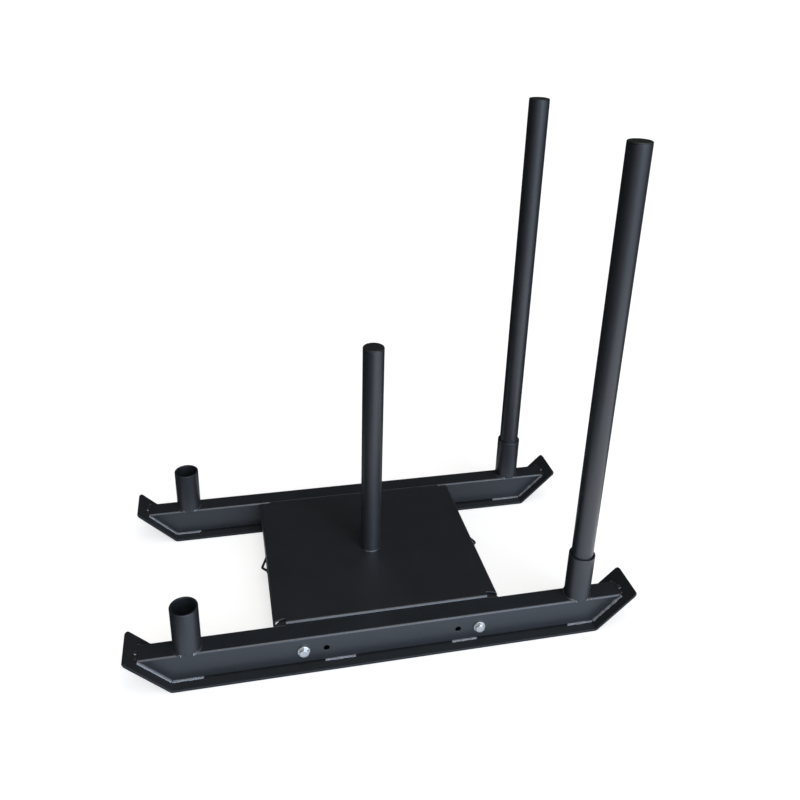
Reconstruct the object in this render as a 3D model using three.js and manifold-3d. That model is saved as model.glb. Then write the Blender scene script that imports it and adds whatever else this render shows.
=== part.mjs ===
// Push sled: two steel runners on ski plates, a bolted deck with a load post, two lift-out uprights
// Millimetres, +Z up, +X towards the uprights, origin on the floor under the middle of the sled
// Left is the -Y side and right is the +Y side, for a person who faces the low end

import * as THREE from 'three';
import { mergeVertices } from 'three/addons/utils/BufferGeometryUtils.js';
import Module from 'manifold-3d';

const wasm = await Module();
wasm.setup();

// Gap left between faces that touch on the real sled
const seatGap = 0.3;

// Ski plates: flat bar with both ends turned up
const skiWidth = 100;
const skiThickness = 6;
const skiFlatLength = 965;
const skiBendRadius = 6;
const toeLength = 131;
const toeAngle = THREE.MathUtils.degToRad(45);
const toeCornerRadius = 9;

// Runner tubes: rectangular hollow section, mitred to follow the toes
const runnerGauge = 515;
const tubeWidth = 50;
const tubeHeight = 70;
const tubeWall = 3;
const tubeCornerRadius = 5;
const mitreRootGap = 1.5;

// Sockets that take the uprights
const socketEndDistance = 37.5;
const socketDiameter = 60;
const socketWall = 4;
const frontSocketHeight = 108;
const rearSocketHeight = 115;
const rimChamfer = 0.8;

// Uprights and load post: round tube with a plug cap
const poleDiameter = 50;
const poleWall = 3;
const uprightLength = 1054;
const postLength = 545;
const capThickness = 4;
const capEdgeRadius = 2.5;
const capSpigotLength = 22;
const capSpigotWall = 2.5;

// Deck: sheet folded down on four sides, with open corners
const deckLength = 519;
const deckSheet = 4;
const deckRise = 4;
const deckBendRadius = 6;
const sideFlangeBelowBolts = 13;
const endFlangeDepth = 40;
const cornerNotchLength = 26;
const cornerNotchWidth = 7.2;
const cornerReliefDepth = 6.5;
const cornerReliefFlat = 6;
const cornerPlateDepth = 20;
const cornerPlateBlunt = 2.7;
const cornerPlateDrop = 7;

// Stiffener channel under the load post
const channelWidth = 60;
const channelDepth = 30;
const channelWall = 4;
const channelBendRadius = 6;

// Tow loops: bent rod welded to the end flanges
const towRodDiameter = 6;
const towSpan = 45;
const towLegAngle = { front: THREE.MathUtils.degToRad(26), rear: THREE.MathUtils.degToRad(36) };
const towBendRadius = 6;
const towDrop = 7;
const towLevelBelowDeck = 23;

// Deck bolts and the spare holes beside them
const boltEndDistance = 59.5;
const spareHoleStep = 50;
const boltDiameter = 12;
const boltHoleDiameter = 13.5;
const boltHeadAcross = 19;
const boltHeadHeight = 7.5;
const boltPastNut = 4;
const washerDiameter = 27;
const washerBore = 13;
const washerThickness = 2.5;
const nutHeight = 10.8;
const nutThreadGap = 0.35;
const hexChamferAngle = THREE.MathUtils.degToRad(30);
const hexFaceShare = 0.95;

// How far a cutting tool reaches past the piece it cuts
const overrun = 10;

// Facets
const poleFacets = 36;
const boltFacets = 24;
const rodFacets = 5;
const towSteps = 32;
const bendFacets = 3;
const weldTolerance = 1e-4;

// Levels and places that follow from the sizes above
const toeTan = Math.tan(toeAngle / 2);
const skiHalfFlat = skiFlatLength / 2;
const tubeBottom = skiThickness + seatGap;
const tubeTop = tubeBottom + tubeHeight;
const boltLevel = tubeBottom + tubeHeight / 2;
const socketSpacing = skiFlatLength - 2 * socketEndDistance;
const poleSeat = tubeTop + seatGap;
const deckTop = tubeTop + deckRise;
const deckHalfWidth = runnerGauge / 2 - tubeWidth / 2 - seatGap;
const sideFlangeDepth = deckTop - boltLevel + sideFlangeBelowBolts;
const boltSpacing = deckLength - 2 * boltEndDistance;
const spareHoleSpacing = boltSpacing - 2 * spareHoleStep;
const poleBore = poleDiameter - 2 * poleWall;
const socketBore = socketDiameter - 2 * socketWall;

// Turns of a profile drawn in X and Y: its length then runs along X, or along Y
const alongX = new THREE.Matrix4().makeBasis(
  new THREE.Vector3(0, 1, 0), new THREE.Vector3(0, 0, 1), new THREE.Vector3(1, 0, 0));
const alongY = new THREE.Matrix4().makeBasis(
  new THREE.Vector3(1, 0, 0), new THREE.Vector3(0, 0, 1), new THREE.Vector3(0, -1, 0));

// Closed mesh to solid, dropping triangles that have no area
function solidOf(geometry) {
  const bare = geometry.clone();
  bare.deleteAttribute('normal');
  bare.deleteAttribute('uv');
  const merged = mergeVertices(bare, weldTolerance);
  const corners = merged.index.array;
  const kept = [];
  for (let i = 0; i < corners.length; i += 3) {
    const [a, b, c] = [corners[i], corners[i + 1], corners[i + 2]];
    if (a !== b && b !== c && c !== a) kept.push(a, b, c);
  }
  return new wasm.Manifold(new wasm.Mesh({
    numProp: 3,
    vertProperties: merged.attributes.position.array,
    triVerts: new Uint32Array(kept),
  }));
}

// Solid back to a mesh
function geometryOf(solid) {
  const { vertProperties, triVerts } = solid.getMesh();
  const geometry = new THREE.BufferGeometry();
  geometry.setAttribute('position', new THREE.BufferAttribute(vertProperties, 3));
  geometry.setIndex(new THREE.BufferAttribute(triVerts, 1));
  geometry.computeVertexNormals();
  return geometry;
}

// Profile drawn in X and Y, made length long, centred and turned by a direction triple
function prism(shape, length, basis) {
  const options = { depth: length, bevelEnabled: false, curveSegments: bendFacets };
  const geometry = new THREE.ExtrudeGeometry(shape, options);
  geometry.translate(0, 0, -length / 2);
  return geometry.applyMatrix4(basis);
}

// Ring or disc turned about Z from points of radius and height
function turned(points, facets) {
  const profile = points.map(([radius, height]) => new THREE.Vector2(radius, height));
  const geometry = new THREE.LatheGeometry(profile, facets);
  return geometry.rotateX(Math.PI / 2);
}

// Round bar along Y, used to drill holes
function drill(diameter, length, x, z) {
  const bar = new THREE.CylinderGeometry(diameter / 2, diameter / 2, length, boltFacets);
  return solidOf(bar.translate(x, 0, z));
}

// Rectangle with round corners, as a shape or as a hole
function roundedRectangle(path, width, height, radius) {
  const [x, y] = [width / 2 - radius, height / 2 - radius];
  path.moveTo(-x, -y - radius);
  path.lineTo(x, -y - radius);
  path.absarc(x, -y, radius, -Math.PI / 2, 0, false);
  path.lineTo(x + radius, y);
  path.absarc(x, y, radius, 0, Math.PI / 2, false);
  path.lineTo(-x, y + radius);
  path.absarc(-x, y, radius, Math.PI / 2, Math.PI, false);
  path.lineTo(-x - radius, -y);
  path.absarc(-x, -y, radius, Math.PI, 1.5 * Math.PI, false);
  return path;
}

// Open channel with its back up: outer width, depth, sheet thickness and outer bend radius
function channelShape(width, depth, sheet, bend) {
  const shape = new THREE.Shape();
  const x = width / 2;
  const inner = bend - sheet;
  shape.moveTo(x, -depth);
  shape.lineTo(x, -bend);
  shape.absarc(x - bend, -bend, bend, 0, Math.PI / 2, false);
  shape.lineTo(-x + bend, 0);
  shape.absarc(-x + bend, -bend, bend, Math.PI / 2, Math.PI, false);
  shape.lineTo(-x, -depth);
  shape.lineTo(-x + sheet, -depth);
  shape.lineTo(-x + sheet, -bend);
  shape.absarc(-x + bend, -bend, inner, Math.PI, Math.PI / 2, true);
  shape.lineTo(x - bend, -sheet);
  shape.absarc(x - bend, -bend, inner, Math.PI / 2, 0, true);
  shape.lineTo(x - sheet, -depth);
  shape.closePath();
  return shape;
}

// Ski plate seen from the side: a flat sole and two toes joined by round bends
function skiProfile() {
  const outer = skiBendRadius + skiThickness;
  const bendX = skiHalfFlat - outer * toeTan;
  const tip = [skiHalfFlat + toeLength * Math.cos(toeAngle), toeLength * Math.sin(toeAngle)];
  const rise = [skiThickness * Math.sin(toeAngle), skiThickness * Math.cos(toeAngle)];
  const down = -Math.PI / 2;
  const shape = new THREE.Shape();
  shape.moveTo(-bendX, 0);
  shape.lineTo(bendX, 0);
  shape.absarc(bendX, outer, outer, down, down + toeAngle, false);
  shape.lineTo(tip[0], tip[1]);
  shape.lineTo(tip[0] - rise[0], tip[1] + rise[1]);
  shape.absarc(bendX, outer, skiBendRadius, down + toeAngle, down, true);
  shape.lineTo(-bendX, skiThickness);
  shape.absarc(-bendX, outer, skiBendRadius, down, down - toeAngle, true);
  shape.lineTo(-tip[0] + rise[0], tip[1] + rise[1]);
  shape.lineTo(-tip[0], tip[1]);
  shape.absarc(-bendX, outer, outer, down - toeAngle, down, false);
  shape.closePath();
  return shape;
}

// Waste outside a toe's round corner, drawn on the toe: X up the slope, Y across the plate
function toeCornerWaste(side) {
  const [x, y] = [toeLength - toeCornerRadius, skiWidth / 2 - toeCornerRadius];
  const far = toeCornerRadius + overrun;
  const shape = new THREE.Shape();
  shape.moveTo(x, side * (y + toeCornerRadius));
  shape.absarc(x, side * y, toeCornerRadius, side * Math.PI / 2, 0, side > 0);
  shape.lineTo(x + far, side * y);
  shape.lineTo(x + far, side * (y + far));
  shape.lineTo(x, side * (y + far));
  shape.closePath();
  const slope = new THREE.Vector3(Math.cos(toeAngle), 0, Math.sin(toeAngle));
  const across = new THREE.Vector3(0, 1, 0);
  const normal = new THREE.Vector3().crossVectors(slope, across);
  const place = new THREE.Matrix4().makeBasis(slope, across, normal);
  place.setPosition(skiHalfFlat, 0, 0);
  return prism(shape, 2 * (skiThickness + overrun), place);
}

function skiPlate() {
  let plate = solidOf(prism(skiProfile(), skiWidth, alongY));
  for (const side of [-1, 1]) {
    for (const turn of [0, Math.PI]) {
      plate = plate.subtract(solidOf(toeCornerWaste(side).rotateZ(turn)));
    }
  }
  return geometryOf(plate);
}

// Block that trims a tube end parallel to the toe, leaving the weld's root gap
function mitreWaste() {
  const reach = tubeHeight / Math.sin(toeAngle) + 2 * overrun;
  const block = new THREE.BoxGeometry(reach * 2, tubeWidth + 2 * overrun, reach);
  block.translate(0, 0, -reach / 2);
  block.rotateY(-toeAngle);
  const inner = skiHalfFlat - skiThickness * toeTan - mitreRootGap / Math.sin(toeAngle);
  return block.translate(inner, 0, skiThickness);
}

function runnerTube() {
  const section = roundedRectangle(new THREE.Shape(), tubeWidth, tubeHeight, tubeCornerRadius);
  const bore = [tubeWidth - 2 * tubeWall, tubeHeight - 2 * tubeWall, tubeCornerRadius - tubeWall];
  section.holes.push(roundedRectangle(new THREE.Path(), ...bore));
  const length = skiFlatLength + 2 * tubeHeight / Math.tan(toeAngle);
  const stock = prism(section, length, alongX).translate(0, 0, tubeBottom + tubeHeight / 2);
  let tube = solidOf(stock);
  tube = tube.subtract(solidOf(mitreWaste()));
  tube = tube.subtract(solidOf(mitreWaste().rotateZ(Math.PI)));
  for (const spacing of [boltSpacing, spareHoleSpacing]) {
    for (const x of [-spacing / 2, spacing / 2]) {
      tube = tube.subtract(drill(boltHoleDiameter, tubeWidth + overrun, x, boltLevel));
    }
  }
  return geometryOf(tube);
}

// Straight tube standing on its foot, with a small chamfer at both rims
function roundTube(outerDiameter, innerDiameter, height) {
  const [outer, inner, cut] = [outerDiameter / 2, innerDiameter / 2, rimChamfer];
  return turned([
    [inner, 0],
    [outer - cut, 0],
    [outer, cut],
    [outer, height - cut],
    [outer - cut, height],
    [inner + cut, height],
    [inner, height - cut],
    [inner, 0],
  ], poleFacets);
}

// Plug cap: a round-edged head that sits on the tube and a hollow spigot inside it
function plugCap() {
  const outer = poleDiameter / 2;
  const spigot = poleBore / 2 - seatGap;
  const edge = [];
  for (let i = 0; i <= bendFacets; i += 1) {
    const turn = (i / bendFacets) * Math.PI / 2;
    const radius = outer - capEdgeRadius + capEdgeRadius * Math.cos(turn);
    edge.push([radius, capThickness - capEdgeRadius + capEdgeRadius * Math.sin(turn)]);
  }
  return turned([
    [0, 0],
    [spigot - capSpigotWall, 0],
    [spigot - capSpigotWall, -capSpigotLength],
    [spigot, -capSpigotLength],
    [spigot, 0],
    [outer, 0],
    ...edge,
    [0, capThickness],
  ], poleFacets);
}

// Waste at one corner of the deck: the relief cut from the end of one fold to the end of the next
function cornerWaste(alongSign, acrossSign, sideFoldLength, endFoldLength) {
  const [x, y] = [sideFoldLength / 2, endFoldLength / 2];
  const [farX, farY] = [x + cornerNotchLength + overrun, y + cornerNotchWidth + overrun];
  const outline = [
    [x, farY],
    [x, y - cornerReliefDepth],
    [x + cornerReliefFlat, y - cornerReliefDepth],
    [x + cornerNotchLength, y],
    [farX, y],
    [farX, farY],
  ];
  const corners = outline.map(([a, b]) => new THREE.Vector2(alongSign * a, acrossSign * b));
  return prism(new THREE.Shape(corners), 2 * (sideFlangeDepth + overrun), new THREE.Matrix4());
}

// Plate below one corner of the deck, welded to the end of the side flange, with a slanted outer end
function cornerPlate(alongSign, acrossSign, sideFoldLength) {
  const [x, y] = [deckLength / 2, deckHalfWidth];
  const [root, slant] = [sideFoldLength / 2 - deckSheet, cornerPlateDepth - cornerPlateBlunt];
  const outline = [
    [root, y],
    [root, y - cornerPlateDepth],
    [x - slant, y - cornerPlateDepth],
    [x, y - cornerPlateBlunt],
    [x, y],
  ];
  const corners = outline.map(([a, b]) => new THREE.Vector2(alongSign * a, acrossSign * b));
  const plate = prism(new THREE.Shape(corners), deckSheet, new THREE.Matrix4());
  return plate.translate(0, 0, deckTop - cornerPlateDrop - deckSheet / 2);
}

// Deck pan: one channel across the sled and one along it share the same top sheet
function deckPan() {
  const across = channelShape(2 * deckHalfWidth, sideFlangeDepth, deckSheet, deckBendRadius);
  const along = channelShape(deckLength, endFlangeDepth, deckSheet, deckBendRadius);
  const sideFoldLength = deckLength - 2 * cornerNotchLength;
  const endFoldLength = 2 * (deckHalfWidth - cornerNotchWidth);
  let pan = solidOf(prism(across, sideFoldLength, alongX).translate(0, 0, deckTop));
  pan = pan.add(solidOf(prism(along, endFoldLength, alongY).translate(0, 0, deckTop)));
  for (const alongSign of [-1, 1]) {
    for (const acrossSign of [-1, 1]) {
      const waste = cornerWaste(alongSign, acrossSign, sideFoldLength, endFoldLength);
      pan = pan.subtract(solidOf(waste.translate(0, 0, deckTop)));
      pan = pan.add(solidOf(cornerPlate(alongSign, acrossSign, sideFoldLength)));
    }
  }
  for (const spacing of [boltSpacing, spareHoleSpacing]) {
    for (const x of [-spacing / 2, spacing / 2]) {
      pan = pan.subtract(drill(boltHoleDiameter, 2 * deckHalfWidth + overrun, x, boltLevel));
    }
  }
  return geometryOf(pan);
}

// Channel that backs the deck under the load post, from one side flange to the other
function deckStiffener() {
  const length = 2 * (deckHalfWidth - deckSheet - deckBendRadius);
  const shape = channelShape(channelWidth, channelDepth, channelWall, channelBendRadius);
  return prism(shape, length, alongY);
}

// Centre line of the tow rod: two straight legs and the bend between them, drooping as they go out
class TowPath extends THREE.Curve {
  constructor(legAngle) {
    super();
    this.legAngle = legAngle;
  }

  getPoint(t, target = new THREE.Vector3()) {
    const slope = Math.tan(this.legAngle);
    const bendHalf = towBendRadius * Math.sin(this.legAngle);
    const bendCentre = towSpan / 2 * slope - towBendRadius / Math.cos(this.legAngle);
    const across = (2 * t - 1) * (towSpan / 2 + towRodDiameter / slope);
    const onLeg = (towSpan / 2 - Math.abs(across)) * slope;
    const onBend = bendCentre + Math.sqrt(Math.max(towBendRadius ** 2 - across ** 2, 0));
    const out = Math.abs(across) > bendHalf ? onLeg : onBend;
    return target.set(out, across, -towDrop * out / (bendCentre + towBendRadius));
  }
}

function towLoop(end) {
  const section = new THREE.Shape();
  section.absarc(0, 0, towRodDiameter / 2, 0, 2 * Math.PI, false);
  const rod = new THREE.ExtrudeGeometry(section, {
    steps: towSteps,
    curveSegments: rodFacets,
    bevelEnabled: false,
    extrudePath: new TowPath(towLegAngle[end]),
  });
  const reach = 2 * towSpan;
  const behindFlange = new THREE.BoxGeometry(reach, reach, reach).translate(-reach / 2, 0, 0);
  return geometryOf(solidOf(rod).subtract(solidOf(behindFlange)));
}

// Hexagon blank with a chamfered upper face
function hexBlank(across, height) {
  const corners = [];
  const reach = across / Math.sqrt(3);
  for (let i = 0; i < 6; i += 1) {
    const turn = i * Math.PI / 3;
    corners.push(new THREE.Vector2(reach * Math.cos(turn), reach * Math.sin(turn)));
  }
  const shape = new THREE.Shape(corners);
  const hexagon = new THREE.ExtrudeGeometry(shape, { depth: height, bevelEnabled: false });
  const face = across / 2 * hexFaceShare;
  const foot = face + height / Math.tan(hexChamferAngle);
  const cone = new THREE.CylinderGeometry(face, foot, height, boltFacets);
  cone.rotateX(Math.PI / 2).translate(0, 0, height / 2);
  return solidOf(hexagon).intersect(solidOf(cone));
}

// Hex bolt with its head above the seat and its shank below, rooted in the head
function bolt(shankLength) {
  const radius = boltDiameter / 2;
  const root = boltHeadHeight / 2;
  const shank = new THREE.CylinderGeometry(radius, radius, shankLength + root, boltFacets);
  shank.rotateX(Math.PI / 2).translate(0, 0, (root - shankLength) / 2);
  const head = hexBlank(boltHeadAcross, boltHeadHeight);
  return geometryOf(head.add(solidOf(shank)));
}

function washer() {
  const [outer, inner] = [washerDiameter / 2, washerBore / 2];
  return turned([
    [inner, 0],
    [outer, 0],
    [outer, washerThickness],
    [inner, washerThickness],
    [inner, 0],
  ], boltFacets);
}

function nut() {
  const bore = boltDiameter / 2 + nutThreadGap;
  const hole = new THREE.CylinderGeometry(bore, bore, nutHeight + overrun, boltFacets);
  hole.rotateX(Math.PI / 2).translate(0, 0, nutHeight / 2);
  return geometryOf(hexBlank(boltHeadAcross, nutHeight).subtract(solidOf(hole)));
}

// Finishes
function powderCoat() {
  return new THREE.MeshStandardMaterial({ color: 0x24262a, roughness: 0.38, metalness: 0.0 });
}

function matteCoat() {
  return new THREE.MeshStandardMaterial({ color: 0x1c1e20, roughness: 0.6, metalness: 0.0 });
}

function zincPlate() {
  return new THREE.MeshStandardMaterial({ color: 0xc9ccd2, roughness: 0.35, metalness: 1.0 });
}

function blackPlastic() {
  return new THREE.MeshStandardMaterial({ color: 0x141516, roughness: 0.5, metalness: 0.0 });
}

// Named piece placed in a group
function place(group, name, geometry, material, x = 0, y = 0, z = 0) {
  const mesh = new THREE.Mesh(geometry, material);
  mesh.name = name;
  mesh.position.set(x, y, z);
  group.add(mesh);
  return mesh;
}

// Upright with its cap, ready to lift out of a socket
function uprightGroup(side) {
  const upright = new THREE.Group();
  const tube = roundTube(poleDiameter, poleBore, uprightLength);
  place(upright, `${side}_upright`, tube, powderCoat());
  place(upright, `${side}_upright_cap`, plugCap(), blackPlastic(), 0, 0, uprightLength + seatGap);
  upright.position.set(socketSpacing / 2, 0, poleSeat);
  return upright;
}

// Bolt, washers and nut on one axis that points out of the sled
function boltGroup(side, end) {
  const fixing = new THREE.Group();
  const grip = tubeWidth + seatGap + deckSheet;
  const outerSeat = seatGap;
  const headSeat = outerSeat + washerThickness + seatGap;
  const innerSeat = -grip - seatGap - washerThickness;
  const nutSeat = innerSeat - seatGap;
  const shankLength = headSeat - nutSeat + nutHeight + boltPastNut;
  place(fixing, `${side}_${end}_bolt`, bolt(shankLength), zincPlate(), 0, 0, headSeat);
  place(fixing, `${side}_${end}_outer_washer`, washer(), zincPlate(), 0, 0, outerSeat);
  place(fixing, `${side}_${end}_inner_washer`, washer(), zincPlate(), 0, 0, innerSeat);
  const nutMesh = place(fixing, `${side}_${end}_nut`, nut(), zincPlate(), 0, 0, nutSeat);
  nutMesh.rotation.x = Math.PI;
  return fixing;
}

// One runner with all that is welded to it or bolted through it
function runnerGroup(side, sign) {
  const runner = new THREE.Group();
  place(runner, `${side}_ski_plate`, skiPlate(), powderCoat());
  place(runner, `${side}_runner_tube`, runnerTube(), powderCoat());
  const frontSocket = roundTube(socketDiameter, socketBore, frontSocketHeight);
  const rearSocket = roundTube(socketDiameter, socketBore, rearSocketHeight);
  const socketX = socketSpacing / 2;
  place(runner, `${side}_front_socket`, frontSocket, powderCoat(), -socketX, 0, poleSeat);
  place(runner, `${side}_rear_socket`, rearSocket, powderCoat(), socketX, 0, poleSeat);
  runner.add(uprightGroup(side));
  for (const [end, direction] of [['front', -1], ['rear', 1]]) {
    const fixing = boltGroup(side, end);
    fixing.rotation.x = -sign * Math.PI / 2;
    fixing.position.set(direction * boltSpacing / 2, sign * tubeWidth / 2, boltLevel);
    runner.add(fixing);
  }
  runner.position.y = sign * runnerGauge / 2;
  return runner;
}

// Deck with its stiffener, load post and tow loops
function deckGroup() {
  const deck = new THREE.Group();
  const stiffenerTop = deckTop - deckSheet - seatGap;
  const postSeat = deckTop + seatGap;
  const post = roundTube(poleDiameter, poleBore, postLength);
  place(deck, 'deck_pan', deckPan(), matteCoat());
  place(deck, 'deck_stiffener', deckStiffener(), matteCoat(), 0, 0, stiffenerTop);
  place(deck, 'load_post', post, powderCoat(), 0, 0, postSeat);
  place(deck, 'load_post_cap', plugCap(), blackPlastic(), 0, 0, postSeat + postLength + seatGap);
  const [loopX, loopLevel] = [deckLength / 2 + seatGap, deckTop - towLevelBelowDeck];
  place(deck, 'front_tow_loop', towLoop('front'), powderCoat(), -loopX, 0, loopLevel).rotateZ(Math.PI);
  place(deck, 'rear_tow_loop', towLoop('rear'), powderCoat(), loopX, 0, loopLevel);
  return deck;
}

const sled = new THREE.Group();
sled.name = 'push_sled';
sled.add(runnerGroup('left', -1));
sled.add(runnerGroup('right', 1));
sled.add(deckGroup());

export default sled;
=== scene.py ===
"""Push sled in satin black powder coat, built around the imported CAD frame. Metres, +Z up, left is -Y."""

import math

import bmesh
import bpy
import numpy as np
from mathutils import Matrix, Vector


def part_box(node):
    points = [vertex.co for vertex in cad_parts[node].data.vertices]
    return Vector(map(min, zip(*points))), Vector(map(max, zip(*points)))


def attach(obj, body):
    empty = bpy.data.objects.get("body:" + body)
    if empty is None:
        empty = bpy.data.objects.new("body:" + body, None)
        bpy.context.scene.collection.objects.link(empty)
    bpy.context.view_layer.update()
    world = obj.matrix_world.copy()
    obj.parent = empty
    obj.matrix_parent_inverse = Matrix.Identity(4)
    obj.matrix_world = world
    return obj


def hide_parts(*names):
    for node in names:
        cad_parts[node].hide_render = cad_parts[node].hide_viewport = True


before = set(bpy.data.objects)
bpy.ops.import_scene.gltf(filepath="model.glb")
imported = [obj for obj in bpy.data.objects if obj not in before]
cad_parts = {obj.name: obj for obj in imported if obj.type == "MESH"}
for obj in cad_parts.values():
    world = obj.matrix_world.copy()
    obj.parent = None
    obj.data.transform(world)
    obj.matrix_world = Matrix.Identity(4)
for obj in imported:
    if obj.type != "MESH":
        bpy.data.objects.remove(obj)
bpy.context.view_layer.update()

MM = 0.001
FULL_TURN = 2 * math.pi
SIDES = {"left": -1, "right": 1}
ENDS = {"front": -1, "rear": 1}

# Meshes: the distance that joins points, the angles of sharp and rounded edges, and a cutter's overrun
SAME_POINT = 0.0001 * MM
SHARP_EDGE = math.radians(33)
ROUNDED_EDGE = math.radians(50)
OVERRUN = 30 * MM

# Points along bends and edges, and facets round tubes, holes, the tow rod and the zinc-plated pieces
TOE_POINTS = 9
CAP_POINTS = 7
FOLD_POINTS = 7
TOW_POINTS = 8
BEAD_POINTS = 9
TUBE_FACETS = 96
HOLE_FACETS = 40
ROD_FACETS = 20
ZINC_FACETS = 72

# Ski plates: flat bar with both ends turned up
SKI_WIDTH = 100 * MM
SKI_THICKNESS = 6 * MM
SKI_FLAT = 965 * MM
SKI_BEND = 6 * MM
SKI_EDGE = 0.9 * MM
TOE_LENGTH = 131 * MM
TOE_ANGLE = math.radians(45)
TOE_CORNER = 9 * MM
TOE_TAN = math.tan(TOE_ANGLE / 2)

# Runner tubes: rectangular hollow section
GAUGE = 515 * MM
TUBE_WIDTH = 50 * MM
TUBE_WALL = 3 * MM
TUBE_CORNER = 5 * MM
MITRE_GAP = 1.5 * MM

# Round tubes and caps
POLE = 50 * MM
POLE_WALL = 3 * MM
SOCKET = 60 * MM
SOCKET_WALL = 4 * MM
RIM_ROUND = 0.9 * MM
CAP_HEAD = 4 * MM
CAP_ROUND = 2.8 * MM
CAP_DOME = 0.9 * MM
CAP_CHAMFER = 0.3 * MM
SPIGOT_WALL = 2.5 * MM
SEAT_GAP = 0.3 * MM

# Deck: sheet folded down on four sides, a plate across each open corner and a channel under the load post
SHEET = 4 * MM
DECK_BEND = 6 * MM
NOTCH_LENGTH = 26 * MM
NOTCH_WIDTH = 7.2 * MM
RELIEF_DEPTH = 6.5 * MM
RELIEF_FLAT = 6 * MM
PLATE_DEPTH = 20 * MM
PLATE_BLUNT = 2.7 * MM
PLATE_DROP = 7 * MM
END_FLANGE = 40 * MM
BURR_ROUND = 0.5 * MM
CHANNEL_WALL = 4 * MM
CHANNEL_BEND = 6 * MM

# Tow loops: bent rod
TOW_ROD = 6 * MM
TOW_SPAN = 45 * MM
TOW_LEG_ANGLE = {"front": math.radians(26), "rear": math.radians(36)}
TOW_BEND = 6 * MM
TOW_DROP = 7 * MM
TOW_BELOW_DECK = 23 * MM
TOW_LEG_PLACES = (0.35 * TOW_SPAN, 0.6 * TOW_SPAN)

# Bolts, washers and nuts, and the holes for them
HOLE = 13.5 * MM
HOLES_FROM_MIDDLE = (150 * MM, 200 * MM)
BOLT = 12 * MM
THREAD_PITCH = 1.75 * MM
THREAD_DEPTH = 0.75 * MM
THREADED = 16 * MM
THREAD_RUNOUT = 1.2 * MM
THREAD_STEPS = 6
HEX_ACROSS = 19 * MM
HEX_FACE = 0.95 * HEX_ACROSS / 2
HEX_SLOPE = math.radians(30)
HEAD_MIDDLE = HEX_FACE * 0.55
COLLAR = HEX_ACROSS * 0.48
COLLAR_HEIGHT = 0.4 * MM
NUT_BORE = 12.7 * MM
NUT_SINK = 0.8 * MM
WASHER_BORE = 13 * MM
WASHER_ROUND = 0.4 * MM

# Welds: leg lengths and insets, a socket's arc in radians, and the foot stitches along X in millimetres
END_TAPER = 3 * MM
SEAM_WELD = 4.4 * MM
SEAM_FOOT = 1 * MM
SEAM_TOP = 1.5 * MM
STITCH_WELD = 5.2 * MM
STITCH_INSET = 2.4 * MM
FOOT_WELD = 3.4 * MM
FOOT_TAPER = 2 * MM
FOOT_ARC = 1.2
TOP_WELD = 2.2 * MM
TACK_WELD = 4.8 * MM
TACK_HALF = 7 * MM
TACK_OFFSET = 2 * MM
POST_WELD = 1.8 * MM
LOOP_WELD = 1.8 * MM
STITCHES_OUTER = ((-484, -413), (-155, -83), (135, 198), (417, 484))
STITCHES_INNER = ((-484, -417), (-150, -88), (128, 190), (400, 484))

# Points along the lines that the welds follow
SEAM_POINTS = 30
TOP_POINTS = 24
STITCH_POINTS = 40
POST_POINTS = 240
LOOP_POINTS = 60

# First numbers of the random draws that make each bead its own
RUNNER_SEEDS = {"left": 10, "right": 50}
SOCKET_SEEDS = {"left": 73, "right": 87}
POST_SEED = 5
LOOP_SEED = 30

# Bead of a hand-laid weld: shares of its size or of a ripple, and sway waves in radians per metre
RIPPLE = 3.1 * MM
STEPS_IN_RIPPLE = 6
FEWEST_STEPS = 8
BEAD_FLATNESS = 0.15
BEAD_ROOT = 0.25
RIPPLE_DEPTH = 0.14
RIPPLE_TRAIL = 0.4
SWAY_SHIFT = 0.12
SWAY_SWELL = 0.05
SWAYS = 3
SWAY_WAVES = (90, 400)
SWAY_START = (0, 6.3)
END_HEIGHT = 0.02

# Levels and places that follow from the CAD nodes' boxes
tube_low, tube_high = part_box("left_runner_tube")
deck_low, deck_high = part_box("deck_pan")
TUBE_BOTTOM, TUBE_TOP = tube_low.z, tube_high.z
BOLT_LEVEL = (TUBE_BOTTOM + TUBE_TOP) / 2
DECK_TOP = deck_high.z
DECK_HALF = (deck_high.x, deck_high.y)
SIDE_FLANGE = deck_high.z - deck_low.z


# Shapes

def put_in_mesh(name, points, faces):
    """A smooth mesh object: doubles merged, faces turned outwards, sharp edges kept sharp."""
    mesh = bpy.data.meshes.new(name)
    mesh.from_pydata(np.asarray(points, float).tolist(), [], faces)
    work = bmesh.new()
    work.from_mesh(mesh)
    bmesh.ops.remove_doubles(work, verts=work.verts, dist=SAME_POINT)
    bmesh.ops.recalc_face_normals(work, faces=work.faces)
    work.to_mesh(mesh)
    work.free()
    mesh.shade_smooth()
    mesh.set_sharp_from_angle(angle=SHARP_EDGE)
    piece = bpy.data.objects.new(name, mesh)
    bpy.context.scene.collection.objects.link(piece)
    return piece


def grid_faces(rows, columns, rows_close=False, columns_close=True):
    """Quads of a grid of points numbered row by row: each joins (i, j), (i, j+1), (i+1, j+1) and (i+1, j)."""
    i, j = np.indices((rows - (not rows_close), columns - (not columns_close)))
    a, b = (i + 1) % rows, (j + 1) % columns
    quads = np.stack([i * columns + j, i * columns + b, a * columns + b, a * columns + j], -1)
    return quads.reshape(-1, 4).tolist()


def end_faces(rows, columns, first=0):
    """The two flat ends of a stack of closed sections whose points are numbered from the first one."""
    last = first + (rows - 1) * columns
    return [list(range(first, first + columns)), list(range(last, last + columns))]


def skin(name, sections, ring=False):
    """Skin over a stack of closed sections, a row of points each, with flat ends unless it is a ring."""
    rows, columns = sections.shape[:2]
    faces = grid_faces(rows, columns, rows_close=ring)
    if not ring:
        faces += end_faces(rows, columns)
    return put_in_mesh(name, sections.reshape(-1, 3), faces)


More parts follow.
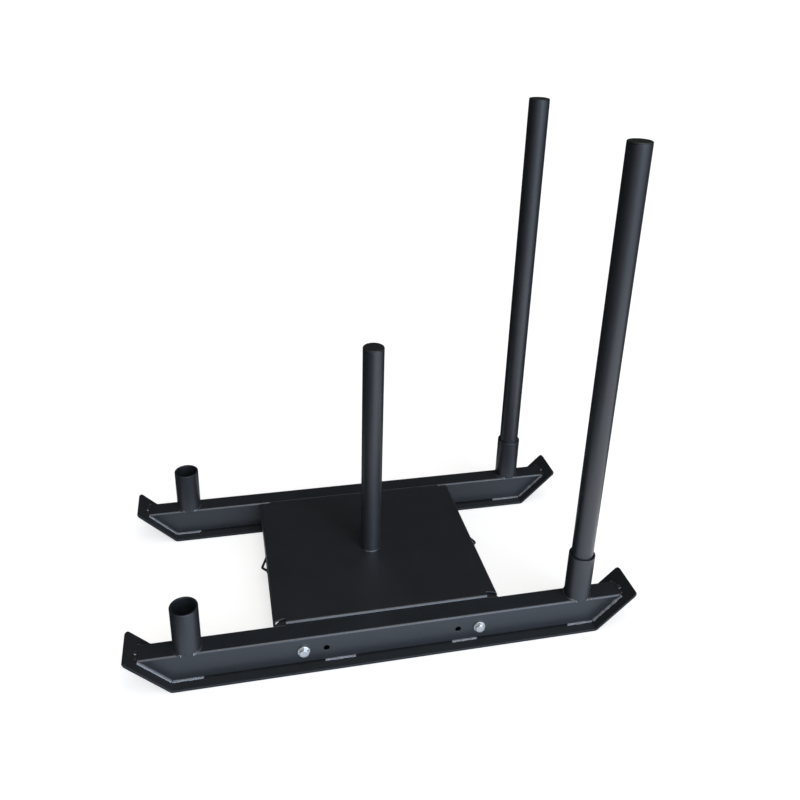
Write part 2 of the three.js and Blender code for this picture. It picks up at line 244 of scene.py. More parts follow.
def rounded(corners, radii, steps=5):
    """Outline whose corners are arcs: each arc turns by the corner's angle and touches both its sides."""
    corners = np.asarray(corners, float)
    radii = np.broadcast_to(np.asarray(radii, float), len(corners))
    share = np.linspace(0, 1, steps + 1)[:, None]
    outline = []
    for i, corner in enumerate(corners):
        back = corners[i - 1] - corner
        ahead = corners[(i + 1) % len(corners)] - corner
        back, ahead = back / np.linalg.norm(back), ahead / np.linalg.norm(ahead)
        half = math.acos(np.clip(back @ ahead, -1, 1)) / 2
        start, end = corner + back * radii[i] / math.tan(half), corner + ahead * radii[i] / math.tan(half)
        middle = corner + (back + ahead) / np.linalg.norm(back + ahead) * radii[i] / math.sin(half)
        turn = math.pi - 2 * half
        arms = np.sin((1 - share) * turn) * (start - middle) + np.sin(share * turn) * (end - middle)
        outline.append(middle + arms / math.sin(turn))
    return np.concatenate(outline)


def rectangle(low_x, low_y, high_x, high_y):
    """The four corners of a rectangle, in turn."""
    return [(low_x, low_y), (high_x, low_y), (high_x, high_y), (low_x, high_y)]


def turned(name, outline, centre, facets=TUBE_FACETS, axis="z"):
    """Outline of radius and height turned round an axis, for z: x = r cos(a), y = r sin(a), z = height."""
    angle = np.linspace(0, FULL_TURN, facets, endpoint=False)[:, None]
    radius, height = outline[:, 0], outline[:, 1]
    across, up = radius * np.cos(angle), radius * np.sin(angle)
    along = np.broadcast_to(height, across.shape)
    order = {"z": (across, up, along), "y": (up, along, across)}[axis]
    return skin(name, np.stack(order, -1) + np.asarray(centre), ring=True)


def upright_prism(name, outline, levels):
    """Outline of X and Y carried straight up from one level to another."""
    sections = [np.column_stack([outline, np.full(len(outline), level)]) for level in levels]
    return skin(name, np.array(sections))


def hole_bars():
    """Round bars through both runners that cut the bolt holes: x = place + r cos(a), z = level + r sin(a)."""
    angle = np.linspace(0, FULL_TURN, HOLE_FACETS, endpoint=False)
    ends = np.array([[[0, -GAUGE, 0]], [[0, GAUGE, 0]]])
    bars = []
    for end in (-1, 1):
        for distance in HOLES_FROM_MIDDLE:
            x = end * distance + HOLE / 2 * np.cos(angle)
            z = BOLT_LEVEL + HOLE / 2 * np.sin(angle)
            bars.append(skin("cutter", np.stack([x, 0 * angle, z], -1) + ends))
    return bars


def cut(piece, cutters):
    """Takes the cutters away from the piece, deletes them and keeps the result as the piece's own mesh."""
    for cutter in cutters:
        tool = piece.modifiers.new("cut", "BOOLEAN")
        tool.object, tool.solver = cutter, "EXACT"
    keep_result(piece)
    for cutter in cutters:
        bpy.data.objects.remove(cutter)


def keep_result(piece):
    """Turns the piece's modifiers into its mesh."""
    graph = bpy.context.evaluated_depsgraph_get()
    graph.update()
    made = bpy.data.meshes.new_from_object(piece.evaluated_get(graph))
    piece.modifiers.clear()
    piece.data = made
    made.shade_smooth()
    made.set_sharp_from_angle(angle=SHARP_EDGE)


def soften(piece):
    """Rounds the cut edges and keeps the large faces flat to the eye."""
    bevel = piece.modifiers.new("edge_round", "BEVEL")
    bevel.width, bevel.segments = BURR_ROUND, 2
    bevel.limit_method, bevel.angle_limit = "ANGLE", ROUNDED_EDGE
    flat_faces(piece)


def flat_faces(piece):
    """Shades the large faces flat up to their rounded edges."""
    weighted = piece.modifiers.new("flat_faces", "WEIGHTED_NORMAL")
    weighted.keep_sharp = True


def ski_plate(name, y):
    """Flat bar whose ends turn up: a rounded rectangle carried along a line that is straight, bends by the
    toe's angle and is straight again. Near each tip the half-width is w - R + sqrt(R^2 - (R - e)^2), where e
    is the distance to the tip, and the half-thickness shrinks the same way over the edge's own radius."""
    half_flat = SKI_FLAT / 2 - (SKI_BEND + SKI_THICKNESS) * TOE_TAN
    middle = SKI_BEND + SKI_THICKNESS / 2
    straight = TOE_LENGTH - (SKI_BEND + SKI_THICKNESS) * TOE_TAN
    bend = np.linspace(0, TOE_ANGLE, TOE_POINTS)
    turn = np.linspace(0, math.pi / 2, TOE_POINTS)
    tip = np.concatenate([TOE_CORNER * (1 - np.sin(turn[:-1])), SKI_EDGE * (1 - np.sin(turn))])
    # Distances to the tip, the farthest first and each one once
    tip = np.unique(np.round(tip, 9))[::-1]
    slope = np.concatenate([0 * bend, straight - tip])[:, None]
    angle = np.concatenate([bend, np.full(len(tip), TOE_ANGLE)])[:, None]
    to_tip = np.concatenate([np.full(len(bend), straight), tip])[:, None]
    x = half_flat + middle * np.sin(angle) + slope * np.cos(angle)
    z = SKI_BEND + SKI_THICKNESS - middle * np.cos(angle) + slope * np.sin(angle)
    near = np.clip(to_tip, 0, TOE_CORNER)
    half_width = SKI_WIDTH / 2 - TOE_CORNER + np.sqrt(TOE_CORNER ** 2 - (TOE_CORNER - near) ** 2)
    near = np.clip(to_tip, 0, SKI_EDGE)
    half_height = SKI_THICKNESS / 2 - SKI_EDGE + np.sqrt(SKI_EDGE ** 2 - (SKI_EDGE - near) ** 2)
    # Each point of this rounded square is one of the corners (+-1, +-1) plus an arm of length 1
    unit = rounded(rectangle(-2, -2, 2, 2), 1, steps=4)
    corner = np.sign(unit)
    arc = unit - corner
    wide = corner[:, 0] * (half_width - SKI_EDGE) + arc[:, 0] * SKI_EDGE
    high = corner[:, 1] * (half_height - SKI_EDGE) + arc[:, 1] * SKI_EDGE
    sections = np.stack([x - high * np.sin(angle), wide, z + high * np.cos(angle)], -1)
    mirrored = sections[::-1] * (-1, 1, 1)
    plate = skin(name, np.concatenate([mirrored, sections]) + (0, y, 0))
    flat_faces(plate)
    return plate


def runner_tube(name, y):
    """Hollow section carried along X, with an outer and an inner skin joined at both ends. Each end point
    lies on a plane parallel to the toe: x = reach + (z - top of the ski plate) / tan(toe angle)."""
    half_width, half_height = TUBE_WIDTH / 2, (TUBE_TOP - TUBE_BOTTOM) / 2
    corners = rectangle(-half_width, -half_height, half_width, half_height)
    outer = rounded(corners, TUBE_CORNER, steps=6)
    half_width, half_height = half_width - TUBE_WALL, half_height - TUBE_WALL
    corners = rectangle(-half_width, -half_height, half_width, half_height)
    inner = rounded(corners, TUBE_CORNER - TUBE_WALL, steps=6)
    reach = SKI_FLAT / 2 - SKI_THICKNESS * TOE_TAN - MITRE_GAP / math.sin(TOE_ANGLE)
    rows = []
    for outline, end in ((outer, -1), (outer, 1), (inner, 1), (inner, -1)):
        z = outline[:, 1] + BOLT_LEVEL
        x = end * (reach + (z - SKI_THICKNESS) / math.tan(TOE_ANGLE))
        rows.append(np.stack([x, outline[:, 0] + y, z], -1))
    tube = skin(name, np.array(rows), ring=True)
    cut(tube, hole_bars())
    soften(tube)
    return tube


def round_tube(name, low, high, wall):
    """Straight tube between two corners of its box, with rounded rims."""
    outer = (high[0] - low[0]) / 2
    outline = rounded(rectangle(outer - wall, low[2], outer, high[2]), RIM_ROUND, steps=4)
    tube = turned(name, outline, ((low[0] + high[0]) / 2, (low[1] + high[1]) / 2, 0))
    flat_faces(tube)
    return tube


def plug_cap(name, low, high):
    """Moulded cap: a slightly domed head with a round edge, and a hollow spigot that fits the tube's bore."""
    outer, spigot = POLE / 2, POLE / 2 - POLE_WALL - SEAT_GAP
    seat, top = high[2] - CAP_HEAD, high[2]
    rise = np.linspace(0, 1, CAP_POINTS)[1:]
    dome = np.stack([(outer - CAP_ROUND) * (1 - rise), top - CAP_DOME * (1 - rise) ** 2], -1)
    turn = np.linspace(0, math.pi / 2, CAP_POINTS)
    edge_radius = outer - CAP_ROUND * (1 - np.cos(turn))
    edge = np.stack([edge_radius, top - CAP_DOME - CAP_ROUND * (1 - np.sin(turn))], -1)
    foot = [(0, seat), (spigot - SPIGOT_WALL, seat), (spigot - SPIGOT_WALL, low[2]), (spigot, low[2]),
            (spigot, seat), (outer - CAP_CHAMFER, seat), (outer, seat + CAP_CHAMFER)]
    outline = np.concatenate([foot, edge, dome])
    cap = turned(name, outline, ((low[0] + high[0]) / 2, (low[1] + high[1]) / 2, 0))
    flat_faces(cap)
    return cap


def fold_stations(half, fold_end, flange):
    """Places of the grid's lines along one way of the deck, and how far the sheet has dropped at each. The
    bend goes flat + r sin(a) outwards and r (1 - cos(a)) down, and the last line is the flange's foot."""
    bend = np.linspace(0, math.pi / 2, FOLD_POINTS)
    out = np.concatenate([[fold_end], half - DECK_BEND + DECK_BEND * np.sin(bend), [half]])
    down = np.concatenate([[0], DECK_BEND * (1 - np.cos(bend)), [flange]])
    return np.concatenate([-out[::-1], out]), np.concatenate([down[::-1], down])


def corner_waste(fold_x, fold_y):
    """Prisms that open the deck's four corners, with a slanted relief at the end of each side fold."""
    relief = np.array([
        (fold_x, fold_y + OVERRUN), (fold_x, fold_y - RELIEF_DEPTH),
        (fold_x + RELIEF_FLAT, fold_y - RELIEF_DEPTH), (DECK_HALF[0], fold_y),
        (DECK_HALF[0] + OVERRUN, fold_y), (DECK_HALF[0] + OVERRUN, fold_y + OVERRUN)])
    levels = (DECK_TOP - 2 * DECK_BEND, DECK_TOP + OVERRUN)
    corners = [(along, across) for along in (-1, 1) for across in (-1, 1)]
    return [upright_prism("cutter", relief * corner, levels) for corner in corners]


def deck_pan(name):
    """Sheet folded down on four sides: z = top - drop along X - drop along Y on a grid of both ways' lines,
    without the faces of the corners, and then given its thickness inwards."""
    fold_x, fold_y = DECK_HALF[0] - NOTCH_LENGTH, DECK_HALF[1] - NOTCH_WIDTH
    x, down_x = fold_stations(DECK_HALF[0], fold_x, END_FLANGE)
    y, down_y = fold_stations(DECK_HALF[1], fold_y, SIDE_FLANGE)
    points = np.stack(np.broadcast_arrays(x[:, None], y, DECK_TOP - down_x[:, None] - down_y), -1)
    middle_x, middle_y = (x[1:] + x[:-1]) / 2, (y[1:] + y[:-1]) / 2
    kept = (np.abs(middle_x)[:, None] < fold_x) | (np.abs(middle_y) < fold_y)
    faces = np.array(grid_faces(len(x), len(y), columns_close=False))[kept.ravel()]
    used, faces = np.unique(faces, return_inverse=True)
    pan = put_in_mesh(name, points.reshape(-1, 3)[used], faces.reshape(-1, 4).tolist())
    highest = np.argmax([polygon.center.z for polygon in pan.data.polygons])
    faces_up = pan.data.polygons[highest].normal.z > 0
    wall = pan.modifiers.new("sheet", "SOLIDIFY")
    wall.thickness, wall.use_even_offset = SHEET, True
    wall.offset = -1 if faces_up else 1
    keep_result(pan)
    cut(pan, hole_bars() + corner_waste(fold_x, fold_y))
    soften(pan)
    return pan


def corner_plate(name, along, across):
    """Plate below one corner of the deck: an outline with a slanted outer end, carried straight up."""
    x, y = DECK_HALF
    root, slant = x - NOTCH_LENGTH - SHEET, PLATE_DEPTH - PLATE_BLUNT
    corners = [(root, y), (root, y - PLATE_DEPTH), (x - slant, y - PLATE_DEPTH), (x, y - PLATE_BLUNT), (x, y)]
    outline = rounded(corners, BURR_ROUND, steps=3) * (along, across)
    plate = upright_prism(name, outline, (DECK_TOP - PLATE_DROP - SHEET, DECK_TOP - PLATE_DROP))
    soften(plate)
    return plate


def stiffener(name, low, high):
    """Channel with its back up, one outline carried along Y."""
    inner, ceiling = high.x - CHANNEL_WALL, high.z - CHANNEL_WALL
    inner_bend = CHANNEL_BEND - CHANNEL_WALL
    outline = rounded(
        [(high.x, low.z), (high.x, high.z), (low.x, high.z), (low.x, low.z),
         (-inner, low.z), (-inner, ceiling), (inner, ceiling), (inner, low.z)],
        [BURR_ROUND, CHANNEL_BEND, CHANNEL_BEND, BURR_ROUND, BURR_ROUND, inner_bend, inner_bend, BURR_ROUND])
    rows = [np.stack([outline[:, 0], np.full(len(outline), y), outline[:, 1]], -1) for y in (low.y, high.y)]
    channel = skin(name, np.array(rows))
    flat_faces(channel)
    return channel


def tow_path(leg_angle):
    """Centre line of the tow rod before it is placed. Each leg goes out by (span / 2 - |y|) tan(leg angle),
    the bend between them by its centre plus sqrt(R^2 - y^2), and the rod drops as it goes out."""
    slope = math.tan(leg_angle)
    bend_half = TOW_BEND * math.sin(leg_angle)
    centre = TOW_SPAN / 2 * slope - TOW_BEND / math.cos(leg_angle)
    half = np.concatenate([TOW_BEND * np.sin(np.linspace(0, leg_angle, TOW_POINTS)), TOW_LEG_PLACES])
    across = np.concatenate([-half[:0:-1], half])
    leg = (TOW_SPAN / 2 - np.abs(across)) * slope
    bend = centre + np.sqrt(np.maximum(TOW_BEND ** 2 - across ** 2, 0))
    out = np.where(np.abs(across) > bend_half, leg, bend)
    return np.stack([out, across, -TOW_DROP * out / (centre + TOW_BEND)], -1)


def tow_loop(name, sign, leg_angle):
    """Round rod carried along the tow path: at each point a circle across the path's direction."""
    path = tow_path(leg_angle)
    step = np.diff(path, axis=0)
    step /= np.linalg.norm(step, axis=1)[:, None]
    ahead = np.concatenate([step[:1], step[1:] + step[:-1], step[-1:]])
    ahead /= np.linalg.norm(ahead, axis=1)[:, None]
    side = np.cross(ahead, (0, 0, 1))
    side /= np.linalg.norm(side, axis=1)[:, None]
    top = np.cross(side, ahead)
    angle = np.linspace(0, FULL_TURN, ROD_FACETS, endpoint=False)[None, :, None]
    rings = path[:, None] + TOW_ROD / 2 * (side[:, None] * np.cos(angle) + top[:, None] * np.sin(angle))
    rings *= (sign, 1, 1)
    return skin(name, rings + (sign * (DECK_HALF[0] + SEAT_GAP), 0, DECK_TOP - TOW_BELOW_DECK))


def hexagon(angle):
    """Distance from the axis to a hexagon's side, half its width over cos of the angle to the flat, and how
    far the chamfer has fallen there, tan(30 degrees) times the reach past the chamfer's circle."""
    side = HEX_ACROSS / 2 / np.cos((angle + math.pi / 6) % (math.pi / 3) - math.pi / 6)
    return side, np.maximum(side - HEX_FACE, 0) * math.tan(HEX_SLOPE)


def round_y_axis(rows, angle, place, outward):
    """Pairs of radius and height, numbers or arrays, round an axis along Y with height growing outwards."""
    radius = np.array([np.broadcast_to(row[0], angle.shape) for row in rows])
    height = np.array([np.broadcast_to(row[1], angle.shape) for row in rows])
    return np.stack([radius * np.cos(angle), outward * height, radius * np.sin(angle)], -1) + place


def bolt(name, place, outward, length):
    """Hex bolt as one skin from the middle of its head to the end of its shank. The thread's radius falls by
    its depth times a triangle wave of height / pitch - angle / full turn."""
    angle = np.linspace(0, FULL_TURN, ZINC_FACETS, endpoint=False)
    low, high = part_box(name)
    top = (high.y - place[1]) if outward > 0 else (place[1] - low.y)
    side, fall = hexagon(angle)
    rows = [(0, top), (HEAD_MIDDLE, top), (HEX_FACE, top), (side, top - fall), (side, COLLAR_HEIGHT),
            (COLLAR, COLLAR_HEIGHT), (COLLAR, 0), (BOLT / 2, 0), (BOLT / 2, THREADED - length)]
    for level in np.arange(THREADED, THREAD_RUNOUT, -THREAD_PITCH / THREAD_STEPS):
        wave = np.abs(2 * ((level / THREAD_PITCH - angle / FULL_TURN) % 1) - 1)
        rows.append((BOLT / 2 - THREAD_DEPTH * wave, level - length))
    rows += [(BOLT / 2 - THREAD_DEPTH, -length), (0, -length)]
    return skin(name + "_zinc", round_y_axis(rows, angle, place, outward))


def nut(name, place, outward):
    """Hex nut as one ring skin: both faces chamfered like the bolt's head, and a plain countersunk bore."""
    angle = np.linspace(0, FULL_TURN, ZINC_FACETS, endpoint=False)
    low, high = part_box(name)
    tall = high.y - low.y
    side, fall = hexagon(angle)
    bore = NUT_BORE / 2
    rows = [(bore, NUT_SINK), (bore + NUT_SINK, 0), (HEX_FACE, 0), (side, fall),
            (side, tall - fall), (HEX_FACE, tall), (bore + NUT_SINK, tall), (bore, tall - NUT_SINK)]
    return skin(name + "_zinc", round_y_axis(rows, angle, place, outward), ring=True)


def washer(name):
    """Flat ring with rounded edges, turned round an axis along Y inside its box."""
    low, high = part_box(name)
    corners = rectangle(WASHER_BORE / 2, low.y, (high.x - low.x) / 2, high.y)
    outline = rounded(corners, WASHER_ROUND, steps=3)
    centre = ((low.x + high.x) / 2, 0, BOLT_LEVEL)
    ring = turned(name + "_zinc", outline, centre, facets=ZINC_FACETS, axis="y")
    flat_faces(ring)
    return ring


def weld(path, leg_a, leg_b, size, seed, closed=False, taper=END_TAPER):
    """Fillet weld as an array of sections along a seam. Each section bulges from one leg to the other,
    size (1 - flatness sin 2t) (a cos t + b sin t), and size swells and sinks along the seam in scallops one
    ripple long that trail backwards at the middle, as a hand-laid bead does. Ends taper as quarter circles."""
    path = np.asarray(path, float)
    steps = np.linalg.norm(np.diff(path, axis=0), axis=1)
    along = np.concatenate([[0], np.cumsum(steps)])
    total = along[-1]
    stations = np.linspace(0, total, max(int(total / (RIPPLE / STEPS_IN_RIPPLE)), FEWEST_STEPS))

    def spread(value):
        """The path's points, or a direction at each, carried over to the stations."""
        columns = np.broadcast_to(value, path.shape).T
        return np.stack([np.interp(stations, along, column) for column in columns], -1)

    root, a, b = spread(path), spread(leg_a), spread(leg_b)
    t = np.linspace(0, math.pi / 2, BEAD_POINTS)
    draw = np.random.default_rng(seed)
    waves = [np.sin(stations * draw.uniform(*SWAY_WAVES) + draw.uniform(*SWAY_START)) for _ in range(SWAYS)]
    sway = sum(waves)[:, None]
    phase = stations[:, None] / RIPPLE + RIPPLE_TRAIL * np.sin(2 * t) + SWAY_SHIFT * sway
    scallop = 1 - RIPPLE_DEPTH * (1 - np.abs(np.sin(math.pi * phase)))
    swell = 1 + SWAY_SWELL * sway
    to_end = np.clip(np.minimum(stations, total - stations) / taper, 0, 1)
    end = np.ones_like(stations) if closed else np.sqrt(np.clip(1 - (1 - to_end) ** 2, END_HEIGHT, 1))
    reach = size * (1 - BEAD_FLATNESS * np.sin(2 * t)) * scallop * swell * end[:, None]
    bulge = a[:, None] * np.cos(t)[:, None] + b[:, None] * np.sin(t)[:, None]
    curve = root[:, None] + reach[..., None] * bulge
    deep = root[:, None] - BEAD_ROOT * size * (a + b)[:, None]
    return np.concatenate([deep, curve], 1)


def weld_piece(name, runs, closed=False):
    """Several weld runs as one piece, each with flat ends or closed in a ring."""
    points, faces, count = [], [], 0
    for sections in runs:
        rows, columns = sections.shape[:2]
        faces += (np.array(grid_faces(rows, columns, rows_close=closed)) + count).tolist()
        if not closed:
            faces += end_faces(rows, columns, count)
        points.append(sections.reshape(-1, 3))
        count += rows * columns
    return put_in_mesh(name, np.concatenate(points), faces)


def arc_points(centre, radius, start, end, steps=120):
    """Points of an arc in a level plane and the outward direction at each."""
    angle = np.linspace(start, end, steps)
    out = np.stack([np.cos(angle), np.sin(angle), 0 * angle], -1)
    return np.asarray(centre) + radius * out, out


def runner_welds(side, sign):
    """Seams of one runner: mitred ends, a bead and a tack on top at each toe, and stitches along the foot."""
    y = sign * GAUGE / 2
    runs = []
    seed = RUNNER_SEEDS[side]
    foot_x = SKI_FLAT / 2 - SKI_THICKNESS * TOE_TAN
    rise = TUBE_TOP - SKI_THICKNESS
    seam_low = np.array([foot_x + SEAM_FOOT, 0, SKI_THICKNESS + SEAM_FOOT])
    seam_high = np.array([foot_x + rise - SEAM_TOP, 0, TUBE_TOP - SEAM_TOP])
    top_runs = ((TUBE_WIDTH / 2 - TUBE_CORNER, TOP_WELD, 0), (TACK_HALF, TACK_WELD, TACK_OFFSET))
    for end in (-1, 1):
        mirror = np.array([end, 1, 1])
        up_the_toe = np.array([math.cos(TOE_ANGLE), 0, math.sin(TOE_ANGLE)]) * mirror
        off_the_toe = np.array([-math.sin(TOE_ANGLE), 0, math.cos(TOE_ANGLE)]) * mirror
        for face in (-1, 1):
            line = np.linspace(seam_low, seam_high, SEAM_POINTS) * mirror
            line += (0, y + face * TUBE_WIDTH / 2, 0)
            seed += 1
            runs.append(weld(line, off_the_toe, (0, face, 0), SEAM_WELD, seed=seed))
        for half, size, lift in top_runs:
            middle = np.array([foot_x + rise, y, TUBE_TOP]) * mirror + up_the_toe * lift
            line = np.linspace(middle - (0, half, 0), middle + (0, half, 0), TOP_POINTS)
            seed += 1
            runs.append(weld(line, up_the_toe, (-end, 0, 0), size, seed=seed))
    for face in (-1, 1):
        depth = y + face * (TUBE_WIDTH / 2 - STITCH_INSET)
        for start, stop in STITCHES_OUTER if face == sign else STITCHES_INNER:
            first, last = (start * MM, depth, SKI_THICKNESS), (stop * MM, depth, SKI_THICKNESS)
            line = np.linspace(first, last, STITCH_POINTS)
            seed += 1
            runs.append(weld(line, (0, 0, 1), (0, face, 0), STITCH_WELD, seed=seed))
    return weld_piece(f"{side}_runner_welds", runs)


def socket_welds(side, sign):
    """Beads at the feet of both sockets, on the flat of the tube in front of and behind each socket."""
    low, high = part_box(f"{side}_rear_socket")
    socket_x = low.x + SOCKET / 2
    runs = []
    for end in (-1, 1):
        centre = (end * socket_x, sign * GAUGE / 2, TUBE_TOP)
        for middle in (0, math.pi):
            points, out = arc_points(centre, SOCKET / 2, middle - FOOT_ARC, middle + FOOT_ARC)
            seed = SOCKET_SEEDS[side] + len(runs)
            runs.append(weld(points, (0, 0, 1), out, FOOT_WELD, seed=seed, taper=FOOT_TAPER))
    return weld_piece(f"{side}_socket_welds", runs)


def post_weld(name):
    """One closed bead round the foot of the load post."""
    foot, out = arc_points((0, 0, DECK_TOP), POLE / 2, 0, FULL_TURN, POST_POINTS)
    bead = weld(foot, (0, 0, 1), out, POST_WELD, seed=POST_SEED, closed=True)
    return weld_piece(name, [bead[:-1]], closed=True)


def tow_welds(name, sign, leg_angle):
    """A closed bead round each foot of a tow rod, on the ellipse where the slanted rod meets the flange."""
    angle = np.linspace(0, FULL_TURN, LOOP_POINTS)
    out = np.stack([0 * angle, np.cos(angle), np.sin(angle)], -1)
    foot = out * (0, TOW_ROD / 2 / math.sin(leg_angle), TOW_ROD / 2)
    runs = []
    for across in (-1, 1):
        centre = (sign * DECK_HALF[0], across * TOW_SPAN / 2, DECK_TOP - TOW_BELOW_DECK)
        bead = weld(centre + foot, (sign, 0, 0), out, LOOP_WELD, seed=LOOP_SEED + across, closed=True)
        runs.append(bead[:-1])
    return weld_piece(name, runs, closed=True)


# Materials

def linear(code):
    """sRGB hex to linear colour: c / 12.92 below 0.04045, else ((c + 0.055) / 1.055) ^ 2.4."""
    parts = [int(code[i:i + 2], 16) / 255 for i in (1, 3, 5)]
    return [c / 12.92 if c <= 0.04045 else ((c + 0.055) / 1.055) ** 2.4 for c in parts] + [1.0]


def add(tree, kind, inputs=None, **settings):
    """One node with its settings, and its inputs as values or as the outputs that feed them."""
    node = tree.nodes.new(kind)
    for key, value in settings.items():
        setattr(node, key, value)
    for key, value in (inputs or {}).items():
        if isinstance(value, bpy.types.NodeSocket):
            tree.links.new(value, node.inputs[key])
        else:
            node.inputs[key].default_value = value
    return node


def fresh(name):
    """An empty node material and its tree."""
    material = bpy.data.materials.new(name)
    material.use_nodes = True
    material.node_tree.nodes.clear()
    return material, material.node_tree


# Numbered inputs: a colour Mix takes its factor at 0 and its colours at 6 and 7, and a Map Range takes its
# value at 0, the value's own range at 1 and 2 and the new range at 3 and 4. Most of a noise is in this range
NOISE_LOW, NOISE_HIGH = 0.3, 0.7


def powder_coat(name, dark, light, rough, rough_spread, peel, peel_height,
                index=1.6, clear_index=1.5, clear=1.0, clear_rough=0.33):
    """Polyester powder sprayed on steel and baked. The eye gets a closed satin skin with a fine orange-peel
    ripple, a clear layer on top, and a faint cloudiness in tone and gloss where the film is thicker."""
    material, tree = fresh(name)
    place = add(tree, "ShaderNodeTexCoord").outputs["Object"]
    clouds = add(tree, "ShaderNodeTexNoise", {
        "Vector": place, "Scale": 1 / (60 * MM), "Detail": 3, "Roughness": 0.55})
    grain = add(tree, "ShaderNodeTexNoise", {
        "Vector": place, "Scale": 1 / peel, "Detail": 2, "Roughness": 0.6})
    tone = add(tree, "ShaderNodeMix", {
        0: clouds.outputs[0], 6: linear(dark), 7: linear(light)}, data_type="RGBA")
    gloss = add(tree, "ShaderNodeMapRange", {
        0: clouds.outputs[0], 1: NOISE_LOW, 2: NOISE_HIGH, 3: rough - rough_spread, 4: rough + rough_spread})
    relief = add(tree, "ShaderNodeBump", {
        "Height": grain.outputs[0], "Strength": 0.5, "Distance": peel_height})
    # The pale blue Specular Tint is painted light: the cool cast of the room's light on the coat's reflections
    shader = add(tree, "ShaderNodeBsdfPrincipled", {
        "Base Color": tone.outputs[2], "Roughness": gloss.outputs[0], "IOR": index,
        "Normal": relief.outputs[0], "Specular Tint": linear("#d8ebff"), "Coat Weight": clear,
        "Coat IOR": clear_index, "Coat Roughness": clear_rough, "Coat Normal": relief.outputs[0]})
    add(tree, "ShaderNodeOutputMaterial", {"Surface": shader.outputs[0]})
    return material


def zinc_plate(name):
    """Bright zinc plate on steel with a clear passivate. The eye gets a pale, slightly blue metal whose gloss
    is broken by the drawn steel beneath it."""
    material, tree = fresh(name)
    place = add(tree, "ShaderNodeTexCoord").outputs["Object"]
    film = add(tree, "ShaderNodeTexNoise", {"Vector": place, "Scale": 1 / (5 * MM), "Detail": 3})
    grain = add(tree, "ShaderNodeTexNoise", {"Vector": place, "Scale": 1 / (0.8 * MM), "Detail": 2})
    tone = add(tree, "ShaderNodeMix", {
        0: film.outputs[0], 6: linear("#c9ced8"), 7: linear("#e6e6e2")}, data_type="RGBA")
    gloss = add(tree, "ShaderNodeMapRange", {
        0: film.outputs[0], 1: NOISE_LOW, 2: NOISE_HIGH, 3: 0.26, 4: 0.4})
    relief = add(tree, "ShaderNodeBump", {"Height": grain.outputs[0], "Strength": 0.4, "Distance": 0.03 * MM})
    shader = add(tree, "ShaderNodeBsdfPrincipled", {
        "Base Color": tone.outputs[2], "Metallic": 1.0, "Roughness": gloss.outputs[0],
        "Normal": relief.outputs[0]})
    add(tree, "ShaderNodeOutputMaterial", {"Surface": shader.outputs[0]})
    return material


def moulded_cap(name):
    """Low-density polyethylene moulded against a grained tool. The eye gets a soft black with fine grain."""
    material, tree = fresh(name)
    place = add(tree, "ShaderNodeTexCoord").outputs["Object"]
    grain = add(tree, "ShaderNodeTexNoise", {"Vector": place, "Scale": 1 / (0.9 * MM), "Detail": 3})
    tone = add(tree, "ShaderNodeMix", {
        0: grain.outputs[0], 6: linear("#1b1d1c"), 7: linear("#232524")}, data_type="RGBA")
    gloss = add(tree, "ShaderNodeMapRange", {
        0: grain.outputs[0], 1: NOISE_LOW, 2: NOISE_HIGH, 3: 0.42, 4: 0.52})
    relief = add(tree, "ShaderNodeBump", {"Height": grain.outputs[0], "Strength": 0.5, "Distance": 0.04 * MM})
    shader = add(tree, "ShaderNodeBsdfPrincipled", {
        "Base Color": tone.outputs[2], "Roughness": gloss.outputs[0], "IOR": 1.51,
        "Normal": relief.outputs[0]})
    add(tree, "ShaderNodeOutputMaterial", {"Surface": shader.outputs[0]})
    return material


# The satin coat of tubes and rods, dull where scuffed on the ski plates, glossier on welds with a lighter tone
# there that is a painted highlight, flat on the deck
STEEL = powder_coat(
    "satin_powder_coat", "#111215", "#17181b", rough=0.58, rough_spread=0.03, peel=2.2 * MM,
    peel_height=0.03 * MM)
SCUFFED = powder_coat(
    "scuffed_powder_coat", "#1e1f20", "#252627", rough=0.45, rough_spread=0.05, peel=2.2 * MM,
    peel_height=0.03 * MM, index=1.45, clear=0.0)
# The beads' coat is the tubes' own coat, made glossier. Its lighter tone is a painted highlight on the beads
WELD_COAT_AND_HIGHLIGHT = powder_coat(
    "weld_coat_and_painted_highlight", "#202125", "#282a2f", rough=0.3, rough_spread=0.03, peel=1.6 * MM,
    peel_height=0.02 * MM, index=1.75, clear_index=1.8)
DECK = powder_coat(
    "matte_powder_coat", "#191a1d", "#1d1e21", rough=0.45, rough_spread=0.04, peel=1.5 * MM,
    peel_height=0.04 * MM, clear_rough=0.42)
ZINC = zinc_plate("bright_zinc_plate")
CAP = moulded_cap("moulded_polyethylene")

# The record's slots
COATED, DECK_COATED = "powder_coated_steel", "deck_coated_steel"
ZINCED, CAPPED = "zinc_plated_steel", "cap_plastic"


def finish_piece(piece, material, slot, body, *nodes):
    """Gives a piece its material, its body and the CAD nodes that it stands for. The slot is not used."""
    piece.data.materials.clear()
    piece.data.materials.append(material)
    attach(piece, body)
    if nodes:
        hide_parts(*nodes)


# Runners
for side, sign in SIDES.items():
    y = sign * GAUGE / 2
    finish_piece(ski_plate(f"{side}_ski_steel", y), SCUFFED, COATED, "sled_frame", f"{side}_ski_plate")
    finish_piece(runner_tube(f"{side}_tube_steel", y), STEEL, COATED, "sled_frame", f"{side}_runner_tube")
    for end in ENDS:
        node = f"{side}_{end}_socket"
        socket = round_tube(f"{node}_steel", *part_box(node), SOCKET_WALL)
        finish_piece(socket, STEEL, COATED, "sled_frame", node)
    finish_piece(runner_welds(side, sign), WELD_COAT_AND_HIGHLIGHT, COATED, "sled_frame")
    finish_piece(socket_welds(side, sign), WELD_COAT_AND_HIGHLIGHT, COATED, "sled_frame")

